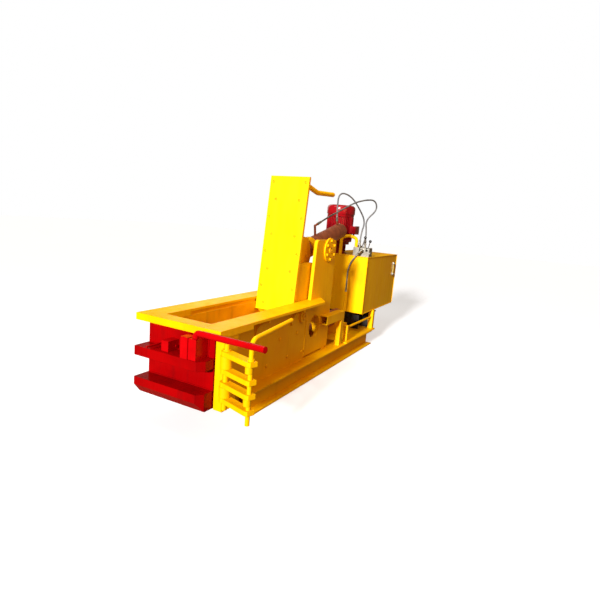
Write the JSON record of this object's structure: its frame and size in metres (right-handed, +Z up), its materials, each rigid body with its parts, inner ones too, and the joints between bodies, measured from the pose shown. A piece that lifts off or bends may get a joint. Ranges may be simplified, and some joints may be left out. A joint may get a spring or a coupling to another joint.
{
  "type": "hydraulic scrap baling press",
  "caption": "Small hydraulic scrap baler: open-topped steel trough with hinged lid, ribbed front door and bar lock, ram cylinder, lid cylinder, tank and motor.",
  "frame": {"origin": "centre of the underside of the middle base cross member, where the press stands on the floor", "axes": "+Z up, the door faces -Y, the tank is at +Y, the bar lock is on the +X side"},
  "size_m": [1.0887, 3.8558, 1.7253],
  "materials": {
    "yellow_paint": "satin",
    "red_paint": "satin",
    "red_motor": "satin",
    "brown_primer": "matt",
    "chromed_rod": "polished",
    "dark_steel": "matt",
    "hose_rubber": "matt",
    "lever_steel": "plain",
    "gauge_plastic": "gloss"
  },
  "bodies": {
    "root": {"under_plates": "dark_steel", "base_beams": "yellow_paint", "cross_members": "yellow_paint", "floor_plate": "yellow_paint", "walls": "yellow_paint", "liners": "yellow_paint", "posts": "yellow_paint", "bearing_discs": "yellow_paint", "cylinder_supports": "yellow_paint", "rim_front": "yellow_paint", "rim_bars": "yellow_paint", "gussets": "yellow_paint", "lock_column": "yellow_paint", "lock_barrels": "yellow_paint", "frame_knuckles": "yellow_paint", "door_hinge_pin": "dark_steel", "main_barrel": "brown_primer", "main_gland": "brown_primer", "side_tubes": "yellow_paint", "legs": "yellow_paint", "tie_rod": "yellow_paint", "tank": "yellow_paint", "tank_top": "yellow_paint", "level_gauge": "gauge_plastic", "drain_valve": "dark_steel", "breather": "dark_steel", "bell_housing": "dark_steel", "motor_body": "red_motor", "motor_cowl": "red_motor", "terminal_box": "red_motor", "valve_block": "dark_steel", "steel_pipe": "yellow_paint", "hose_ram": "hose_rubber", "hose_rod_side": "hose_rubber", "hose_cap_side": "hose_rubber"},
    "door": {"door_plate": "red_paint", "door_rib_upper": "red_paint", "door_rib_lower": "red_paint", "door_stiffener": "red_paint", "door_knuckles": "red_paint"},
    "slide_bolt": {"slide_bolt": "red_paint"},
    "door_lever": {"door_lever": "red_paint"},
    "lock": {"lock_arms": "yellow_paint", "lock_pin": "yellow_paint"},
    "cam_shaft": {"cam_shaft": "yellow_paint"},
    "lid": {"lid_plate": "yellow_paint", "lid_ribs": "yellow_paint", "lid_arms": "yellow_paint", "lid_shaft": "dark_steel", "lid_cheeks": "yellow_paint", "lid_horn": "yellow_paint"},
    "lid_cylinder": {"lid_barrel": "brown_primer", "lid_gland": "yellow_paint", "lid_trunnion": "brown_primer"},
    "lid_rod": {"lid_rod": "chromed_rod"},
    "ram": {"ram": "yellow_paint", "main_rod": "chromed_rod"},
    "valve_lever_1": {"valve_lever_1": "lever_steel"},
    "valve_lever_2": {"valve_lever_2": "lever_steel"},
    "coupling": {"coupling": "dark_steel"}
  },
  "joints": [
    {"name": "door_hinge", "type": "hinge", "parent": "root", "child": "door", "pos_m": [-0.252, -1.388, 0.4], "axis": [0, 0, -1], "range_deg": [0, 110]},
    {"name": "bolt_slide", "type": "slide", "parent": "door", "child": "slide_bolt", "axis": [1, 0, 0], "range_m": [0, 0.035]},
    {"name": "door_lever_turn", "type": "hinge", "parent": "door", "child": "door_lever", "pos_m": [0.2, -1.545, 0.56], "axis": [0, 0, -1], "range_deg": [0, 75]},
    {"name": "lock_swing", "type": "hinge", "parent": "root", "child": "lock", "pos_m": [0.38, -1.472, 0.4], "axis": [0, 0, 1], "range_deg": [0, 60]},
    {"name": "cam_turn", "type": "hinge", "parent": "lock", "child": "cam_shaft", "pos_m": [0.6, -1.54, 0.4], "axis": [0, 0, -1], "range_deg": [0, 70]},
    {"name": "lid_hinge", "type": "hinge", "parent": "root", "child": "lid", "pos_m": [0, -0.227, 0.572], "axis": [1, 0, 0], "range_deg": [0, 95.7]},
    {"name": "lid_cylinder_tilt", "type": "hinge", "parent": "root", "child": "lid_cylinder", "pos_m": [0, 0.209, 1.125], "axis": [1, 0, 0], "range_deg": [0, 9.15], "deforming": ["hose_rod_side", "hose_cap_side"]},
    {"name": "lid_rod_slide", "type": "slide", "parent": "lid_cylinder", "child": "lid_rod", "axis": [0, -0.9749, -0.2226], "range_m": [0, 0.8092]},
    {"name": "ram_slide", "type": "slide", "parent": "root", "child": "ram", "axis": [0, -1, 0], "range_m": [0, 1]},
    {"name": "valve_lever_1_turn", "type": "hinge", "parent": "root", "child": "valve_lever_1", "pos_m": [0.18, 1.18, 1.112], "axis": [1, 0, 0], "range_deg": [-20, 20]},
    {"name": "valve_lever_2_turn", "type": "hinge", "parent": "root", "child": "valve_lever_2", "pos_m": [0.256, 1.18, 1.112], "axis": [1, 0, 0], "range_deg": [-20, 20]},
    {"name": "coupling_spin", "type": "hinge", "parent": "root", "child": "coupling", "pos_m": [-0.15, 1.28, 1.1], "axis": [0, 0, 1], "continuous": true}
  ],
  "couplings": [
    {"joint": "lid_cylinder_tilt", "follows": "lid_hinge", "ratio": 0.09547},
    {"joint": "lid_rod_slide", "follows": "lid_hinge", "m_per_rad": 0.48414}
  ]
}
